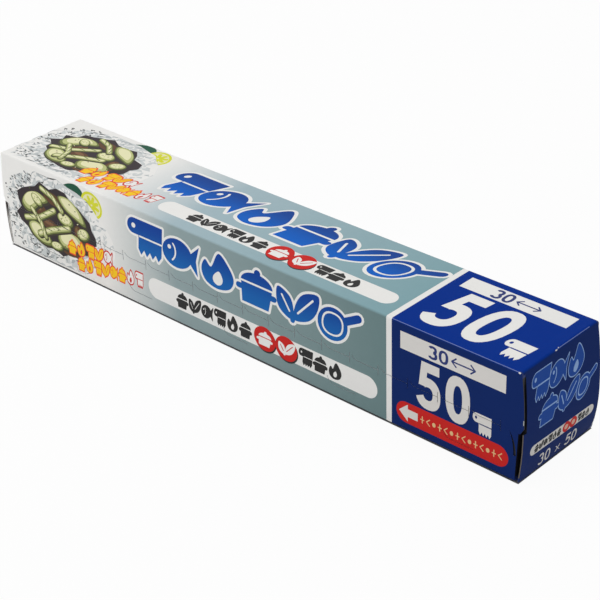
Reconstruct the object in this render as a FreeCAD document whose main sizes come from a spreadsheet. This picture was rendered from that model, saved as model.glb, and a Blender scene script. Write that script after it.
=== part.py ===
import FreeCAD, Part
import os

import Sketcher

# A sealed carton that holds a roll of kitchen foil. Millimetres, +X to the tab end, -Y the tear front, +Z up.
# The carton, its glued flaps and the roll inside are one solid, so only its outer form is modelled.

doc = FreeCAD.newDocument("FoilCarton")
sizes = doc.addObject("Spreadsheet::Sheet", "Sizes")
# The driving sizes, one named value each
SIZES = {
    # The carton and its board
    "carton_length": 312,  # length between the two hinge creases of the end panels
    "carton_depth": 51,  # depth from the tear front to the back
    "carton_height": 51,  # height from the base to the top
    "board": 0.5,  # thickness of the coated board
    "crease_radius": 0.9,  # outer radius of a long crease
    "hinge_radius": 1.3,  # outer radius of the crease that an end panel hangs from
    "flap_rise": 0.9,  # height of the front flap's cut edge above the base
    "tear_set_back": 0.6,  # how far the sleeve's end lies inside the hinge crease at the tear line
    "foot_set_back": 1.6,  # how far the sleeve's end lies inside the hinge crease at the base
    # The end panels, each a sheet hung from the top that springs outward
    "bulge_front": 1.7,  # how far an end panel springs out along its front edge
    "bulge_back": 2.6,  # how far an end panel springs out along its back edge
    "bulge_level": 20,  # height at which an end panel stands out most
    "foot_spring": 0.2,  # how far an end panel still stands out at its lower edge
    "end_rise": 0.5,  # height of an end panel's lower edge above the base
    "end_side_inset": 0.3,  # distance from an end panel's upright edges to the faces beside them
    "end_gap_reach": 3,  # how far the gap behind an end panel's edges runs in
    "end_corner_radius": 5,  # radius of an end panel's lower back corner
    "notch_width": 2.2,  # how far an end panel's front edge is cut back above the tear line
    "wing_reach": 1.8,  # how far the lid part of the front stands past the end above the tear line
    "wing_bevel_run": 1.6,  # length of the bevel on the wing's lower corner
    "wing_bevel_rise": 2.8,  # height of the bevel on the wing's lower corner
    # The upper tear line: a row of cuts, each a dash with a curved lead that ends in an upright tick
    "tear_drop": 27.6,  # distance from the top down to the upper tear line
    "first_tick": 7.85,  # distance from the left end to the first tick
    "tick_pitch": 15.53,  # distance between two ticks
    "tick_length": 5,  # length of a tick
    "dash_run": 10.8,  # straight length of a dash
    "lead_run": 3.4,  # length of a dash's curved lead
    "lead_rise": 1.7,  # height of a dash's curved lead
    "cut_width": 0.3,  # width of a cut
    "cut_depth": 0.35,  # depth of a cut into the board
    # The lower tear line: longer cuts, far apart, that guide the strip
    "strip_drop": 44.8,  # distance from the top down to the lower tear line
    "first_strip_cut": 30,  # distance from the left end to the first cut's straight run
    "strip_pitch": 62.1,  # distance between two cuts of the lower line
    "strip_run": 11.5,  # straight length of a lower cut
    "strip_lead_run": 3.8,  # length of a lower cut's curved lead
    "strip_lead_rise": 3.1,  # height of a lower cut's curved lead
    # The thumb tab that starts the strip, and the slit that ends it
    "tab_reach": 5,  # distance from the right end to the tip of the tab's cut
    "tab_edge": 0.3,  # board left between the foot of the tab's cut and the sleeve's end
    "tab_height": 11,  # height of the tab's curved cut
    "tab_width": 1.2,  # width of the tab's cut where it is widest
    "slit_inset": 1.1,  # distance from the left end to the slit
    "slit_length": 9,  # length of the slit
}
for row, (alias, value) in enumerate(SIZES.items(), 1):
    sizes.set(f"A{row}", alias)
    sizes.set(f"B{row}", str(value))
    sizes.setAlias(f"B{row}", alias)
doc.recompute()

LEFT = "(-Sizes.carton_length / 2)"
RIGHT = "(Sizes.carton_length / 2)"
FRONT = "(-Sizes.carton_depth / 2)"
BACK = "(Sizes.carton_depth / 2)"
TEAR_LEVEL = "(Sizes.carton_height - Sizes.tear_drop)"
END_LEAN = f"((Sizes.foot_set_back - Sizes.tear_set_back) / {TEAR_LEVEL})"
START, END = 1, 2
ORIGIN = -1


def value_of(expression):
    """Work out an expression of the sheet's sizes, in millimetres."""
    found = sizes.evalExpression(str(expression))
    return float(getattr(found, "Value", found))


class Outline:
    """A closed run of lines and arcs in a sketch, with every corner bound to the sheet."""

    def __init__(self, sketch, across, up):
        self.sketch = sketch
        self.first = (across, up)
        self.here = (across, up)
        self.pieces = []

    def bind(self, kind, arguments, expression):
        number = self.sketch.addConstraint(Sketcher.Constraint(kind, *arguments, value_of(expression)))
        self.sketch.setExpression(f"Constraints[{number}]", expression)

    def place(self, corner):
        return FreeCAD.Vector(value_of(corner[0]), value_of(corner[1]), 0)

    def join(self, geometry, near, far, corner):
        number = self.sketch.addGeometry(geometry, False)
        if self.pieces:
            before, _, before_far = self.pieces[-1]
            self.sketch.addConstraint(Sketcher.Constraint("Coincident", before, before_far, number, near))
        self.pieces.append((number, near, far))
        self.bind("DistanceX", (ORIGIN, 1, number, near), self.here[0])
        self.bind("DistanceY", (ORIGIN, 1, number, near), self.here[1])
        self.here = corner
        return number

    def line(self, across, up):
        """A straight run to a corner."""
        corner = (across, up)
        self.join(Part.LineSegment(self.place(self.here), self.place(corner)), START, END, corner)
        return self

    def arc(self, across, up, radius, turns_left):
        """An arc of under half a turn to a corner; turns_left says which way it bends."""
        corner = (across, up)
        begin, finish = self.place(self.here), self.place(corner)
        chord = finish - begin
        bend = value_of(radius)
        offset = max(bend * bend - chord.Length * chord.Length / 4, 0) ** 0.5
        side = FreeCAD.Vector(-chord.y, chord.x, 0).normalize() * (offset if turns_left else -offset)
        middle = begin + chord / 2 + side
        circle = Part.Circle(middle, FreeCAD.Vector(0, 0, 1), bend)
        low, high = (begin, finish) if turns_left else (finish, begin)
        curve = Part.ArcOfCircle(circle, circle.parameter(low), circle.parameter(high))
        near, far = (START, END) if turns_left else (END, START)
        number = self.join(curve, near, far, corner)
        self.bind("Radius", (number,), radius)
        return self

    def close(self):
        """Join the last piece to the first."""
        last, _, last_far = self.pieces[-1]
        first, first_near, _ = self.pieces[0]
        self.sketch.addConstraint(Sketcher.Constraint("Coincident", last, last_far, first, first_near))


def plane_of(body, role):
    """One of a body's own origin planes."""
    return next(item for item in body.Origin.OriginFeatures if item.Role == role)


def new_sketch(body, name, role, offset=None):
    """A sketch on one of the body's planes, moved along the plane's normal."""
    sketch = body.newObject("Sketcher::SketchObject", name)
    sketch.AttachmentSupport = [(plane_of(body, role), "")]
    sketch.MapMode = "FlatFace"
    if offset is not None:
        sketch.setExpression("AttachmentOffset.Base.z", offset)
    return sketch


def add_feature(body, kind, name, profile):
    """A feature of the body that is made from a sketch."""
    feature = body.newObject(kind, name)
    feature.Profile = profile
    profile.Visibility = False
    return feature


def cut_into_front(body, name, profile):
    """Cut a closed outline of the front face into the board by the depth of a cut."""
    pocket = add_feature(body, "PartDesign::Pocket", name, profile)
    pocket.setExpression("Length", "Sizes.cut_depth")
    doc.recompute()
    return pocket


def repeat_along_length(body, name, original, pitch, copies):
    """Repeat a cut along the carton's length."""
    pattern = body.newObject("PartDesign::LinearPattern", name)
    pattern.Originals = [original]
    along = next(item for item in body.Origin.OriginFeatures if item.Role == "X_Axis")
    pattern.Direction = (along, [""])
    pattern.setExpression("Occurrences", copies)
    pattern.setExpression("Length", f"({copies} - 1) * {pitch}")
    body.Tip = pattern
    doc.recompute()
    return pattern


def mirror_to_left(body, name, originals):
    """Make the left end's copy of features of the right end."""
    mirror = body.newObject("PartDesign::Mirrored", name)
    mirror.Originals = originals
    mirror.MirrorPlane = (plane_of(body, "YZ_Plane"), [""])
    body.Tip = mirror
    doc.recompute()
    return mirror


def draw_section(body):
    """The carton's section: four long creases, and the cut edge of the front flap at the lower front."""
    radius = "Sizes.crease_radius"
    inner_front = f"({FRONT} + Sizes.board)"
    sketch = new_sketch(body, "carton_section", "YZ_Plane")
    outline = Outline(sketch, FRONT, "Sizes.flap_rise")
    outline.line(inner_front, "Sizes.flap_rise")
    outline.line(inner_front, "Sizes.flap_rise * 0.9")
    outline.arc(f"{inner_front} + Sizes.flap_rise * 0.9", "0", "Sizes.flap_rise * 0.9", True)
    outline.line(f"{BACK} - {radius}", "0")
    outline.arc(BACK, radius, radius, True)
    outline.line(BACK, f"Sizes.carton_height - {radius}")
    outline.arc(f"{BACK} - {radius}", "Sizes.carton_height", radius, True)
    outline.line(f"{FRONT} + {radius}", "Sizes.carton_height")
    outline.arc(FRONT, f"Sizes.carton_height - {radius}", radius, True)
    outline.line(FRONT, "Sizes.flap_rise")
    outline.close()
    return sketch


def draw_hinge_crease(body):
    """What the rounded crease between the top and an end panel takes off the square end."""
    radius = "Sizes.hinge_radius"
    sketch = new_sketch(body, "hinge_crease_outline", "XZ_Plane", f"{BACK} + Sizes.board")
    outline = Outline(sketch, f"{RIGHT} - {radius}", "Sizes.carton_height")
    outline.arc(RIGHT, f"Sizes.carton_height - {radius}", radius, False)
    outline.line(f"{RIGHT} + Sizes.board", f"Sizes.carton_height - {radius}")
    outline.line(f"{RIGHT} + Sizes.board", "Sizes.carton_height + Sizes.board")
    outline.line(f"{RIGHT} - {radius}", "Sizes.carton_height + Sizes.board")
    outline.line(f"{RIGHT} - {radius}", "Sizes.carton_height")
    outline.close()
    return sketch


def draw_leaning_end(body):
    """What the sleeve's end loses below the tear line, where it leans in toward the base."""
    sketch = new_sketch(body, "leaning_end_outline", "XZ_Plane", f"{BACK} + Sizes.board")
    outline = Outline(sketch, f"{RIGHT} - Sizes.tear_set_back", TEAR_LEVEL)
    outline.line(f"{RIGHT} - Sizes.foot_set_back - {END_LEAN} * Sizes.board", "-Sizes.board")
    outline.line(f"{RIGHT} + Sizes.board", "-Sizes.board")
    outline.line(f"{RIGHT} + Sizes.board", TEAR_LEVEL)
    outline.line(f"{RIGHT} - Sizes.tear_set_back", TEAR_LEVEL)
    outline.close()
    return sketch


def draw_end_profile(body, name, offset, bulge, foot, filled):
    """An end panel seen from the front: hinge crease, long upper bow, short lower bow and square lower edge.

    A filled profile reaches in to the sleeve; the other is one board thick.
    """
    hinge = "Sizes.hinge_radius"
    hinge_level = f"(Sizes.carton_height - {hinge})"
    widest = f"({RIGHT} + {bulge})"
    upper_fall = f"({hinge_level} - Sizes.bulge_level)"
    lower_fall = f"(Sizes.bulge_level - {foot})"
    toe_in = f"({bulge} - min({bulge} * 0.9; Sizes.foot_spring))"
    upper_bow = f"(({bulge}^2 + {upper_fall}^2) / (2 * {bulge}))"
    lower_bow = f"(({toe_in}^2 + {lower_fall}^2) / (2 * {toe_in}))"
    sketch = new_sketch(body, name, "XZ_Plane", offset)
    outline = Outline(sketch, f"{widest} - {toe_in}", foot)
    outline.arc(widest, "Sizes.bulge_level", lower_bow, True)
    outline.arc(RIGHT, hinge_level, upper_bow, True)
    if filled:
        inside = f"({RIGHT} - Sizes.foot_set_back - Sizes.board)"
        outline.line(inside, hinge_level)
        outline.line(inside, foot)
    else:
        outline.line(f"{RIGHT} - Sizes.board", hinge_level)
        outline.arc(f"{widest} - Sizes.board", "Sizes.bulge_level", upper_bow, False)
        outline.arc(f"{widest} - {toe_in} - Sizes.board", foot, lower_bow, False)
    outline.line(f"{widest} - {toe_in}", foot)
    outline.close()
    return sketch


def loft_end(body, name, side_inset, layer, foot, filled):
    """Loft the panel, or the flaps it covers, from the front edge to the back edge.

    layer is how far inside the panel's outer face this loft's outer face lies.
    """
    front_offset = f"{BACK} - {side_inset}"
    back_offset = f"{side_inset} - {BACK}"
    front_bulge = f"(Sizes.bulge_front - {layer})"
    back_bulge = f"(Sizes.bulge_back - {layer})"
    front = draw_end_profile(body, f"{name}_front", front_offset, front_bulge, foot, filled)
    back = draw_end_profile(body, f"{name}_back", back_offset, back_bulge, foot, filled)
    doc.recompute()
    loft = add_feature(body, "PartDesign::AdditiveLoft", name, front)
    loft.Sections = [back]
    loft.Ruled = True
    back.Visibility = False
    doc.recompute()
    return loft


def draw_notch(body):
    """The strip of an end panel's front edge that is cut back above the tear line, beside the lid's wing."""
    sketch = new_sketch(body, "end_notch_outline", "YZ_Plane", RIGHT)
    outline = Outline(sketch, f"{FRONT} - Sizes.board", TEAR_LEVEL)
    outline.line(f"{FRONT} + Sizes.notch_width", TEAR_LEVEL)
    outline.line(f"{FRONT} + Sizes.notch_width", "Sizes.carton_height - Sizes.hinge_radius")
    outline.line(f"{FRONT} - Sizes.board", "Sizes.carton_height - Sizes.hinge_radius")
    outline.line(f"{FRONT} - Sizes.board", TEAR_LEVEL)
    outline.close()
    return sketch


def draw_wing(body):
    """The lid part of the front, which bows out past the end and has a bevelled lower corner."""
    reach = "Sizes.wing_reach"
    top = "(Sizes.carton_height - Sizes.hinge_radius)"
    bevel_top = f"({TEAR_LEVEL} + Sizes.wing_bevel_rise)"
    fall = f"({top} - {bevel_top})"
    sketch = new_sketch(body, "lid_wing_outline", "XZ_Plane", BACK)
    outline = Outline(sketch, f"{RIGHT} - Sizes.board", TEAR_LEVEL)
    outline.line(f"{RIGHT} + {reach} - Sizes.wing_bevel_run", TEAR_LEVEL)
    outline.line(f"{RIGHT} + {reach}", bevel_top)
    outline.arc(RIGHT, top, f"(({reach}^2 + {fall}^2) / (2 * {reach}))", True)
    outline.line(f"{RIGHT} - Sizes.board", top)
    outline.line(f"{RIGHT} - Sizes.board", TEAR_LEVEL)
    outline.close()
    return sketch


def draw_corner_trim(body):
    """What the rounded lower back corner takes off an end panel."""
    radius = "Sizes.end_corner_radius"
    edge = f"({BACK} - Sizes.end_side_inset)"
    sketch = new_sketch(body, "end_corner_outline", "YZ_Plane", RIGHT)
    outline = Outline(sketch, f"{edge} - {radius}", "Sizes.end_rise")
    outline.line(f"{edge} - {radius}", "-Sizes.board")
    outline.line(f"{BACK} + Sizes.board", "-Sizes.board")
    outline.line(f"{BACK} + Sizes.board", f"Sizes.end_rise + {radius}")
    outline.line(edge, f"Sizes.end_rise + {radius}")
    outline.arc(f"{edge} - {radius}", "Sizes.end_rise", radius, False)
    outline.close()
    return sketch


def draw_curved_cut(body, name, straight_end, straight_start, level, lead_run, lead_rise, tick=None):
    """The outline of one cut: a dash that curves up at its left, and an upright tick at its right."""
    half = "(Sizes.cut_width / 2)"
    bend = f"(({lead_run}^2 + {lead_rise}^2) / (2 * {lead_rise}))"
    swing_across = f"({lead_run} / {bend})"
    swing_up = f"(({bend} - {lead_rise}) / {bend})"
    middle = f"({level} + {bend})"
    outer = f"({bend} + {half})"
    inner = f"({bend} - {half})"
    sketch = new_sketch(body, name, "XZ_Plane", BACK)
    outline = Outline(sketch, straight_start, f"{level} - {half}")
    if tick is None:
        outline.line(straight_end, f"{level} - {half}")
        outline.line(straight_end, f"{level} + {half}")
    else:
        outline.line(f"{straight_end} - {half}", f"{level} - {half}")
        outline.line(f"{straight_end} - {half}", f"{level} - {tick} / 2")
        outline.line(f"{straight_end} + {half}", f"{level} - {tick} / 2")
        outline.line(f"{straight_end} + {half}", f"{level} + {tick} / 2")
        outline.line(f"{straight_end} - {half}", f"{level} + {tick} / 2")
        outline.line(f"{straight_end} - {half}", f"{level} + {half}")
    outline.line(straight_start, f"{level} + {half}")
    outline.arc(
        f"{straight_start} - {inner} * {swing_across}", f"{middle} - {inner} * {swing_up}", inner, False
    )
    outline.line(f"{straight_start} - {outer} * {swing_across}", f"{middle} - {outer} * {swing_up}")
    outline.arc(straight_start, f"{level} - {half}", outer, True)
    outline.close()
    return sketch


def draw_tab(body):
    """The crescent cut of the thumb tab: two arcs that meet at a tip on the tear line."""
    tip = f"({RIGHT} - Sizes.tab_reach)"
    inset = f"(Sizes.tear_set_back + {END_LEAN} * Sizes.tab_height + Sizes.tab_edge)"
    inner_edge = f"({RIGHT} - {inset})"
    reach = f"(Sizes.tab_reach - {inset})"
    bend = f"(({reach}^2 + Sizes.tab_height^2) / (2 * {reach}))"
    width = "Sizes.tab_width"
    narrow = f"({reach} - {width})"
    tight_bend = f"(({narrow}^2 + Sizes.tab_height^2) / (2 * {narrow}))"
    foot = f"({TEAR_LEVEL} - Sizes.tab_height)"
    sketch = new_sketch(body, "thumb_tab_outline", "XZ_Plane", BACK)
    outline = Outline(sketch, tip, TEAR_LEVEL)
    outline.arc(f"{inner_edge} - {width}", foot, tight_bend, False)
    outline.line(inner_edge, foot)
    outline.arc(tip, TEAR_LEVEL, bend, True)
    outline.close()
    return sketch


def draw_slit(body):
    """The short upright slit at the left end of the tear strip."""
    near = f"({LEFT} + Sizes.slit_inset)"
    far = f"({near} + Sizes.cut_width)"
    foot = f"({TEAR_LEVEL} - Sizes.slit_length)"
    sketch = new_sketch(body, "strip_slit_outline", "XZ_Plane", BACK)
    outline = Outline(sketch, near, foot)
    outline.line(far, foot)
    outline.line(far, TEAR_LEVEL)
    outline.line(near, TEAR_LEVEL)
    outline.line(near, foot)
    outline.close()
    return sketch


def build_carton():
    """The sealed carton, from its section to its last cut."""
    body = doc.addObject("PartDesign::Body", "sealed_carton")
    body.Label = "sealed_carton"

    # The four-sided sleeve, filled by the roll
    sleeve = add_feature(body, "PartDesign::Pad", "sleeve", draw_section(body))
    sleeve.setExpression("Length", "Sizes.carton_length")
    sleeve.Midplane = True
    doc.recompute()

    # The crease that the end panel hangs from, and the sleeve's end below the tear line
    hinge = add_feature(body, "PartDesign::Pocket", "hinge_crease", draw_hinge_crease(body))
    hinge.Type = "ThroughAll"
    doc.recompute()
    lean = add_feature(body, "PartDesign::Pocket", "leaning_end", draw_leaning_end(body))
    lean.Type = "ThroughAll"
    doc.recompute()

    # Each end: the folded flaps inside, and the sprung panel over them with a gap behind its edges
    gap_foot = "(Sizes.end_rise + Sizes.end_gap_reach)"
    packing = loft_end(body, "inner_flaps", "Sizes.end_gap_reach", "Sizes.board / 2", gap_foot, True)
    panel = loft_end(body, "end_panel", "Sizes.end_side_inset", "0", "Sizes.end_rise", False)
    trim = add_feature(body, "PartDesign::Pocket", "end_corner", draw_corner_trim(body))
    trim.Type = "ThroughAll"
    trim.Reversed = True
    doc.recompute()
    notch = add_feature(body, "PartDesign::Pocket", "end_notch", draw_notch(body))
    notch.Type = "ThroughAll"
    notch.Reversed = True
    doc.recompute()
    wing = add_feature(body, "PartDesign::Pad", "lid_wing", draw_wing(body))
    wing.setExpression("Length", "Sizes.board")
    wing.Reversed = True
    doc.recompute()
    mirror_to_left(body, "left_end", [hinge, lean, packing, panel, trim, notch, wing])

    # The upper tear line
    tick_place = f"({LEFT} + Sizes.first_tick + Sizes.tick_pitch)"
    upper = draw_curved_cut(
        body,
        "tear_cut_outline",
        tick_place,
        f"({tick_place} - Sizes.dash_run)",
        TEAR_LEVEL,
        "Sizes.lead_run",
        "Sizes.lead_rise",
        "Sizes.tick_length",
    )
    tear_cut = cut_into_front(body, "tear_cut", upper)
    ticks = "floor((Sizes.carton_length - 2 * Sizes.first_tick) / Sizes.tick_pitch + 0.02)"
    repeat_along_length(body, "upper_tear_line", tear_cut, "Sizes.tick_pitch", ticks)

    # The lower tear line
    run_start = f"({LEFT} + Sizes.first_strip_cut)"
    lower = draw_curved_cut(
        body,
        "strip_cut_outline",
        f"({run_start} + Sizes.strip_run)",
        run_start,
        "(Sizes.carton_height - Sizes.strip_drop)",
        "Sizes.strip_lead_run",
        "Sizes.strip_lead_rise",
    )
    strip_cut = cut_into_front(body, "strip_cut", lower)
    room = "(Sizes.carton_length - Sizes.first_strip_cut - Sizes.strip_run)"
    strip_cuts = f"floor({room} / Sizes.strip_pitch) + 1"
    repeat_along_length(body, "lower_tear_line", strip_cut, "Sizes.strip_pitch", strip_cuts)

    # The two ends of the tear strip
    cut_into_front(body, "thumb_tab", draw_tab(body))
    cut_into_front(body, "strip_slit", draw_slit(body))
    return body


def check_and_export(bodies):
    """Stop on any failed object or shape, then write each body's solid."""
    doc.recompute()
    for item in doc.Objects:
        if "Invalid" in item.State or "Error" in item.State:
            raise RuntimeError(f"{item.Name} failed: {item.State}")
    os.makedirs("parts", exist_ok=True)
    for body in bodies:
        shape = body.Shape
        if shape.isNull() or not shape.isValid():
            raise RuntimeError(f"{body.Label} has no valid shape")
        shape.exportStep(f"parts/{body.Label}.step")
        box = shape.BoundBox
        print(body.Label, "solids", len(shape.Solids), "faces", len(shape.Faces))
        print("volume", round(shape.Volume))
        print("box", [round(v, 2) for v in (box.XMin, box.XMax, box.YMin, box.YMax, box.ZMin, box.ZMax)])


check_and_export([build_carton()])
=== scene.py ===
import math
import random
from functools import lru_cache

import bpy
import numpy as np
from mathutils import Matrix, Vector
from mathutils.bvhtree import BVHTree
from mathutils.geometry import delaunay_2d_cdt


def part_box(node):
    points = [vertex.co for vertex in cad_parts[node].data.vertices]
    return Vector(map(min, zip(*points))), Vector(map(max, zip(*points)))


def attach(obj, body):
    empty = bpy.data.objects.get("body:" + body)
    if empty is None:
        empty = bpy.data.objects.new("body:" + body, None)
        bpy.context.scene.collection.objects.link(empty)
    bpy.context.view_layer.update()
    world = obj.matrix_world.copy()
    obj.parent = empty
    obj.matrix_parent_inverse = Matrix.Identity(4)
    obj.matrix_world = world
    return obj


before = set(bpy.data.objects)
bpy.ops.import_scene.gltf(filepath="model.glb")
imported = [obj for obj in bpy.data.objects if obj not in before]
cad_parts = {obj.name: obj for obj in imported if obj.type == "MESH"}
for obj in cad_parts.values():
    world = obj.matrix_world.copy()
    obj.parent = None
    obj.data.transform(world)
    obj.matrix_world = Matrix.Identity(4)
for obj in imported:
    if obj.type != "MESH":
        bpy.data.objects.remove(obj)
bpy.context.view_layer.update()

# A sealed carton of kitchen foil. The solid is the white board; the print on it is thin plates of ink.
# Print is laid out flat, in millimetres: "along" runs from the left end of the carton, and "round" runs
# over the back, the top and the front, with 0 at the top's back crease.

MM = 0.001
NODE = "sealed_carton"
BODY = "root"

# Driving sizes, as in the solid
low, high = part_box(NODE)
BULGE_BACK = 2.6
LENGTH = (high[0] - low[0]) / MM - 2 * BULGE_BACK
DEPTH = (high[1] - low[1]) / MM
HEIGHT = (high[2] - low[2]) / MM
BOARD = 0.5
CREASE = 0.9
HINGE = 1.3
FLAP_RISE = 0.9
TEAR_SET_BACK = 0.6
FOOT_SET_BACK = 1.6
END_RISE = 0.5
END_INSET = 0.3
END_CORNER = 5.0
NOTCH = 2.2
WING = 1.8
BEVEL_RUN = 1.6
BEVEL_RISE = 2.8
TEAR_DROP = 27.6
FIRST_TICK = 7.85
TICK_PITCH = 15.53
TICK_LENGTH = 5.0
DASH_RUN = 10.8
LEAD_RUN = 3.4
LEAD_RISE = 1.7
CUT_WIDTH = 0.3
CUT_DEPTH = 0.35
STRIP_DROP = 44.8
FIRST_STRIP_CUT = 30.0
STRIP_PITCH = 62.1
STRIP_RUN = 11.5
STRIP_LEAD_RUN = 3.8
STRIP_LEAD_RISE = 3.1
TAB_REACH = 5.0
TAB_EDGE = 0.3
TAB_HEIGHT = 11.0
TAB_WIDTH = 1.2
SLIT_INSET = 1.1
SLIT_LENGTH = 9.0
TEAR_LEVEL = HEIGHT - TEAR_DROP

# How far the plates of ink stand proud of the board and reach into it
INK_PROUD = 0.04
INK_SUNK = 0.03

# Where the panels lie in the flat layout
TOP = 0.0
FRONT = DEPTH
BACK_END = -HEIGHT + CREASE
FRONT_END = DEPTH + HEIGHT - FLAP_RISE
BARE = "bare"


def arc_points(centre, radius, start, end, count):
    """Points on an arc of a circle, angles in degrees."""
    angles = [math.radians(start + (end - start) * i / count) for i in range(count + 1)]
    return [(centre[0] + radius * math.cos(a), centre[1] + radius * math.sin(a)) for a in angles]


def bow(fall, drop, reach):
    """How far a shallow arc that ends upright stands out, at a distance drop from its widest point."""
    radius = (reach * reach + fall * fall) / (2 * reach)
    return reach - radius + math.sqrt(max(radius * radius - drop * drop, 0))


def side_reach(level):
    """How far the front stands past the hinge crease at a level: the lid's wing, or the set-back."""
    top = HEIGHT - HINGE
    bevel_top = TEAR_LEVEL + BEVEL_RISE
    if level >= top:
        return 0.0
    if level >= bevel_top:
        return bow(top - bevel_top, level - bevel_top, WING)
    if level > TEAR_LEVEL:
        return WING - BEVEL_RUN * (bevel_top - level) / BEVEL_RISE
    return -TEAR_SET_BACK - (FOOT_SET_BACK - TEAR_SET_BACK) * (TEAR_LEVEL - level) / TEAR_LEVEL


def solid_surface():
    """The carton's own surface, to lay ink on."""
    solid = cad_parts[NODE]
    corners = [solid.matrix_world @ vertex.co for vertex in solid.data.vertices]
    return BVHTree.FromPolygons(corners, [face.vertices for face in solid.data.polygons])


SURFACE = solid_surface()


# Folding the flat layout onto the carton

def fold_sleeve(along, around, lift):
    """A point of the back, top or front, lifted off the board."""
    x = along - LENGTH / 2
    if around <= -CREASE:
        return x, DEPTH / 2 + lift, HEIGHT + around
    if around < CREASE:
        turn = math.pi / 2 * (around + CREASE) / (2 * CREASE)
        reach = CREASE + lift
        return x, DEPTH / 2 - CREASE + reach * math.cos(turn), HEIGHT - CREASE + reach * math.sin(turn)
    if around <= DEPTH - CREASE:
        return x, DEPTH / 2 - around, HEIGHT + lift
    if around < DEPTH + CREASE:
        turn = math.pi / 2 * (1 + (around - DEPTH + CREASE) / (2 * CREASE))
        reach = CREASE + lift
        return x, -DEPTH / 2 + CREASE + reach * math.cos(turn), HEIGHT - CREASE + reach * math.sin(turn)
    return x, -DEPTH / 2 - lift, HEIGHT + DEPTH - around


@lru_cache(maxsize=None)
def end_reach(y, level):
    """How far out the right end panel stands, as the largest of a few close points of its facets."""
    found = []
    for step_across, step_up in ((0, 0), (0.05, 0.05), (0.05, -0.05), (-0.05, 0.05), (-0.05, -0.05)):
        start = Vector((LENGTH, y + step_across, level + step_up)) * MM
        hit = SURFACE.ray_cast(start, Vector((-1, 0, 0)))[0]
        if hit:
            found.append(hit.x / MM)
    return max(found)


def fold_end(across, down, lift):
    """A point of the right end panel: across from its front edge, down from the top, lifted off the board."""
    y = across - DEPTH / 2
    if down < HINGE:
        turn = math.pi / 2 * (1 - (down + HINGE) / (2 * HINGE))
        reach = HINGE + lift
        return LENGTH / 2 - HINGE + reach * math.cos(turn), y, HEIGHT - HINGE + reach * math.sin(turn)
    level = HEIGHT - down
    return end_reach(y, level) + lift, y, level


# Simple shapes, each a list of outlines

def grown_polygon(points, grow):
    """A polygon made larger all round, as itself and a band along each edge."""
    shapes = [list(points)]
    if grow > 0:
        shapes += stroke(list(points) + [points[0]], 2 * grow)
    return shapes


def disc(centre, radius_across, radius_down=None, lean=0.0, count=28, grow=0.0):
    """A disc or ellipse, leaning by an angle in degrees."""
    radius_down = radius_across if radius_down is None else radius_down
    turn = math.radians(lean)
    points = []
    for i in range(count):
        angle = 2 * math.pi * i / count
        a = (radius_across + grow) * math.cos(angle)
        b = (radius_down + grow) * math.sin(angle)
        points.append((centre[0] + a * math.cos(turn) - b * math.sin(turn),
                       centre[1] + a * math.sin(turn) + b * math.cos(turn)))
    return [points]


def stroke(points, width, grow=0.0):
    """A line of one width with round ends and joints; one that ends where it starts is a ring."""
    half = width / 2 + grow
    shapes, sides = [], []
    for (x0, y0), (x1, y1) in zip(points, points[1:]):
        length = math.hypot(x1 - x0, y1 - y0)
        if length < 1e-6:
            continue
        nx, ny = -(y1 - y0) / length * half, (x1 - x0) / length * half
        shapes.append([(x0 + nx, y0 + ny), (x0 - nx, y0 - ny), (x1 - nx, y1 - ny), (x1 + nx, y1 + ny)])
        sides.append(((x0, y0), (nx, ny)))
    closed = math.dist(points[0], points[-1]) < 1e-6
    if closed:
        sides.append((points[0], sides[0][1]))
    else:
        shapes += disc(points[0], half, count=12) + disc(points[-1], half, count=12)
    for (_, (ax, ay)), ((x, y), (bx, by)) in zip(sides, sides[1:]):
        if math.hypot(ax - bx, ay - by) > 0.35 * half:
            shapes += disc((x, y), half, count=12)
        else:
            shapes += [[(x, y), (x + ax, y + ay), (x + bx, y + by)],
                       [(x, y), (x - ax, y - ay), (x - bx, y - by)]]
    return shapes


def pill(left, right, top, bottom):
    """A bar with half-round ends."""
    radius = (bottom - top) / 2
    middle = (top + bottom) / 2
    return [arc_points((left + radius, middle), radius, 90, 270, 14)
            + arc_points((right - radius, middle), radius, -90, 90, 14)]


def bar(left, right, top, bottom):
    """A plain rectangle."""
    return [[(left, top), (right, top), (right, bottom), (left, bottom)]]


def smooth_ring(points, count=6):
    """A closed smooth outline through a few points."""
    total = len(points)
    out = []
    for i in range(total):
        before, start, end, after = (points[(i + k - 1) % total] for k in range(4))
        for j in range(count):
            t = j / count
            out.append(tuple(
                0.5 * (2 * b + (c - a) * t + (2 * a - 5 * b + 4 * c - d) * t * t
                       + (3 * b - a - 3 * c + d) * t * t * t)
                for a, b, c, d in zip(before, start, end, after)
            ))
    return out


def band(centre, across, down, width, start=0.0, finish=360.0, count=26):
    """Part of an upright oval ring with flat ends; across and down are its outer radii, angles in degrees."""
    outer, inner = [], []
    for i in range(count + 1):
        angle = math.radians(start + (finish - start) * i / count)
        a = math.copysign(abs(math.cos(angle)) ** 0.85, math.cos(angle))
        b = math.copysign(abs(math.sin(angle)) ** 0.85, math.sin(angle))
        outer.append((centre[0] + across * a, centre[1] + down * b))
        inner.append((centre[0] + (across - width) * a, centre[1] + (down - width) * b))
    return outer + inner[::-1]


def place(shapes, origin, across=1.0, down=None, slant=0.0, level=0.0):
    """Scale shapes, lean them about a level and move them."""
    down = across if down is None else down
    return [[(origin[0] + across * x + down * slant * (level - y), origin[1] + down * y) for x, y in shape]
            for shape in shapes]


# Pictograms of a kitchen, 24 wide and 19 high; each returns its body and the marks left open in it

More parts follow.
